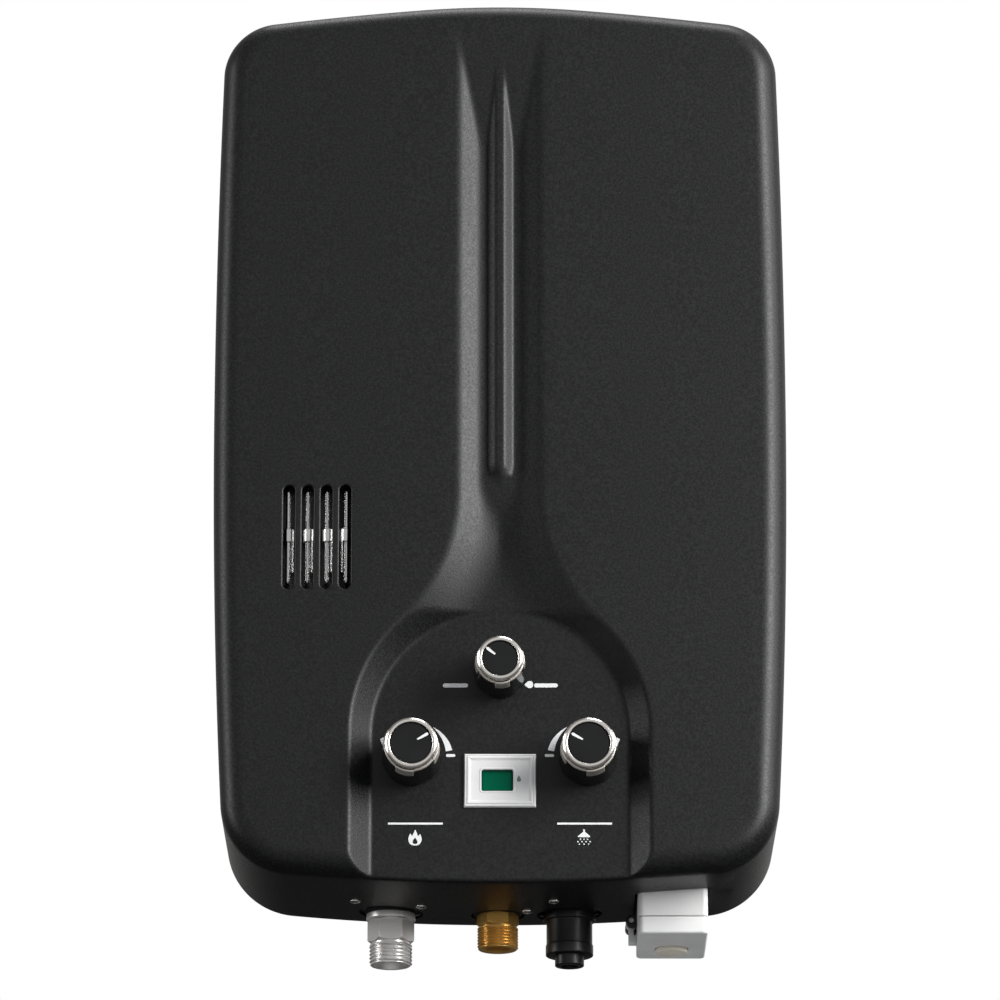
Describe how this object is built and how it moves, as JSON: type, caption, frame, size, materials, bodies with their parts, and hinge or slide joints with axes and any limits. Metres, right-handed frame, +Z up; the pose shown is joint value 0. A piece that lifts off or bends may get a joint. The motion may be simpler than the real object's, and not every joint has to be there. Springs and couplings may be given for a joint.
{
  "type": "portable propane water heater",
  "caption": "Wall-hung instant gas water heater in a slim steel casing, with control knobs, a small display, threaded pipe ends and a battery box below.",
  "frame": {"origin": "centre of the back plate's rear face, on the casing's centre line at mid height", "axes": "+Z up; the control panel faces -Y and the wall is on the +Y side; +X to the right seen from the front"},
  "size_m": [0.28, 0.1215, 0.4903],
  "materials": {
    "casing_paint": "fine wrinkle powder coat",
    "zinc_steel": "zinc plated sheet",
    "bright_steel": "polished",
    "stainless": "turned",
    "brass": "machined",
    "cast_aluminium": "die cast",
    "black_plastic": "moulded",
    "knob_black": "smooth moulded",
    "cap_black": "satin",
    "chrome": "polished",
    "white_plastic": "moulded",
    "cream_plastic": "moulded",
    "green_window": "clear over a green screen",
    "circuit_board": "lacquered",
    "rubber": "matte",
    "cell_label": "printed sleeve",
    "contact_metal": "nickel plated",
    "stamped_steel": "stamped sheet",
    "copper": "bright tube and sheet"
  },
  "bodies": {
    "casing": {"back_plate": "zinc_steel", "battery_box": "white_plastic", "battery_bracket": "black_plastic", "burner_bars": "stamped_steel", "burner_frame": "zinc_steel", "cold_pipe": "copper", "combustion_chamber": "copper", "connection_bracket": "zinc_steel", "cover_screws": "bright_steel", "diaphragm": "rubber", "display_bezel": "white_plastic", "display_board": "circuit_board", "display_window": "green_window", "exchanger_fins": "copper", "exchanger_tube": "copper", "flue_grille": "zinc_steel", "flue_hood": "stamped_steel", "front_cell": "cell_label", "front_cover": "casing_paint", "gas_inlet": "brass", "gas_manifold": "cast_aluminium", "gas_solenoid": "black_plastic", "gas_valve_body": "cast_aluminium", "guard_clips": "bright_steel", "guard_frame": "casing_paint", "guard_rods": "bright_steel", "guard_studs": "bright_steel", "hot_pipe": "copper", "hot_water_outlet": "stainless", "igniter_box": "black_plastic", "ignition_electrodes": "bright_steel", "lid_hinge_pin": "bright_steel", "microswitch": "black_plastic", "overheat_thermostat": "black_plastic", "port_gaskets": "rubber", "port_nuts": "bright_steel", "rear_cell": "cell_label", "top_contacts": "contact_metal", "valve_screws": "bright_steel", "water_inlet": "black_plastic", "water_valve_body": "brass", "water_valve_cover": "brass"},
    "gas_knob": {"gas_knob": "knob_black", "gas_knob_trim": "chrome", "gas_knob_cap": "cap_black", "gas_spindle": "bright_steel"},
    "water_knob": {"water_knob": "knob_black", "water_knob_trim": "chrome", "water_knob_cap": "cap_black", "water_spindle": "bright_steel"},
    "season_knob": {"season_knob": "knob_black", "season_knob_trim": "chrome", "season_knob_cap": "cap_black", "season_spindle": "bright_steel"},
    "battery_lid": {"battery_lid": "white_plastic", "lid_contact": "contact_metal"},
    "battery_button": {"battery_button": "cream_plastic"},
    "push_rod": {"push_rod": "bright_steel", "valve_spring": "bright_steel"},
    "switch_lever": {"microswitch_lever": "chrome"}
  },
  "joints": [
    {"name": "gas_knob_turn", "type": "hinge", "parent": "casing", "child": "gas_knob", "pos_m": [-0.0424, -0.092, -0.1625], "axis": [0, -1, 0], "range_deg": [-19, 123]},
    {"name": "water_knob_turn", "type": "hinge", "parent": "casing", "child": "water_knob", "pos_m": [0.0424, -0.092, -0.1625], "axis": [0, -1, 0], "range_deg": [-123, 19]},
    {"name": "season_knob_turn", "type": "hinge", "parent": "casing", "child": "season_knob", "pos_m": [0, -0.092, -0.1206], "axis": [0, -1, 0], "range_deg": [-158, 52]},
    {"name": "battery_lid_swing", "type": "hinge", "parent": "casing", "child": "battery_lid", "pos_m": [0.064, -0.02, -0.228], "axis": [0, 1, 0], "range_deg": [0, 90]},
    {"name": "battery_button_press", "type": "slide", "parent": "battery_lid", "child": "battery_button", "axis": [0, 0, 1], "range_m": [0, 0.0018], "stiffness_N_per_m": 300, "springref_m": -0.002},
    {"name": "push_rod_slide", "type": "slide", "parent": "casing", "child": "push_rod", "axis": [-1, 0, 0], "range_m": [0, 0.003], "stiffness_N_per_m": 500, "springref_m": -0.004},
    {"name": "switch_lever_tilt", "type": "hinge", "parent": "casing", "child": "switch_lever", "pos_m": [0.0074, -0.038, -0.191], "axis": [0, -1, 0], "range_deg": [0, 7.1]}
  ],
  "couplings": [
    {"joint": "switch_lever_tilt", "follows": "push_rod_slide", "rad_per_m": 40.7}
  ]
}
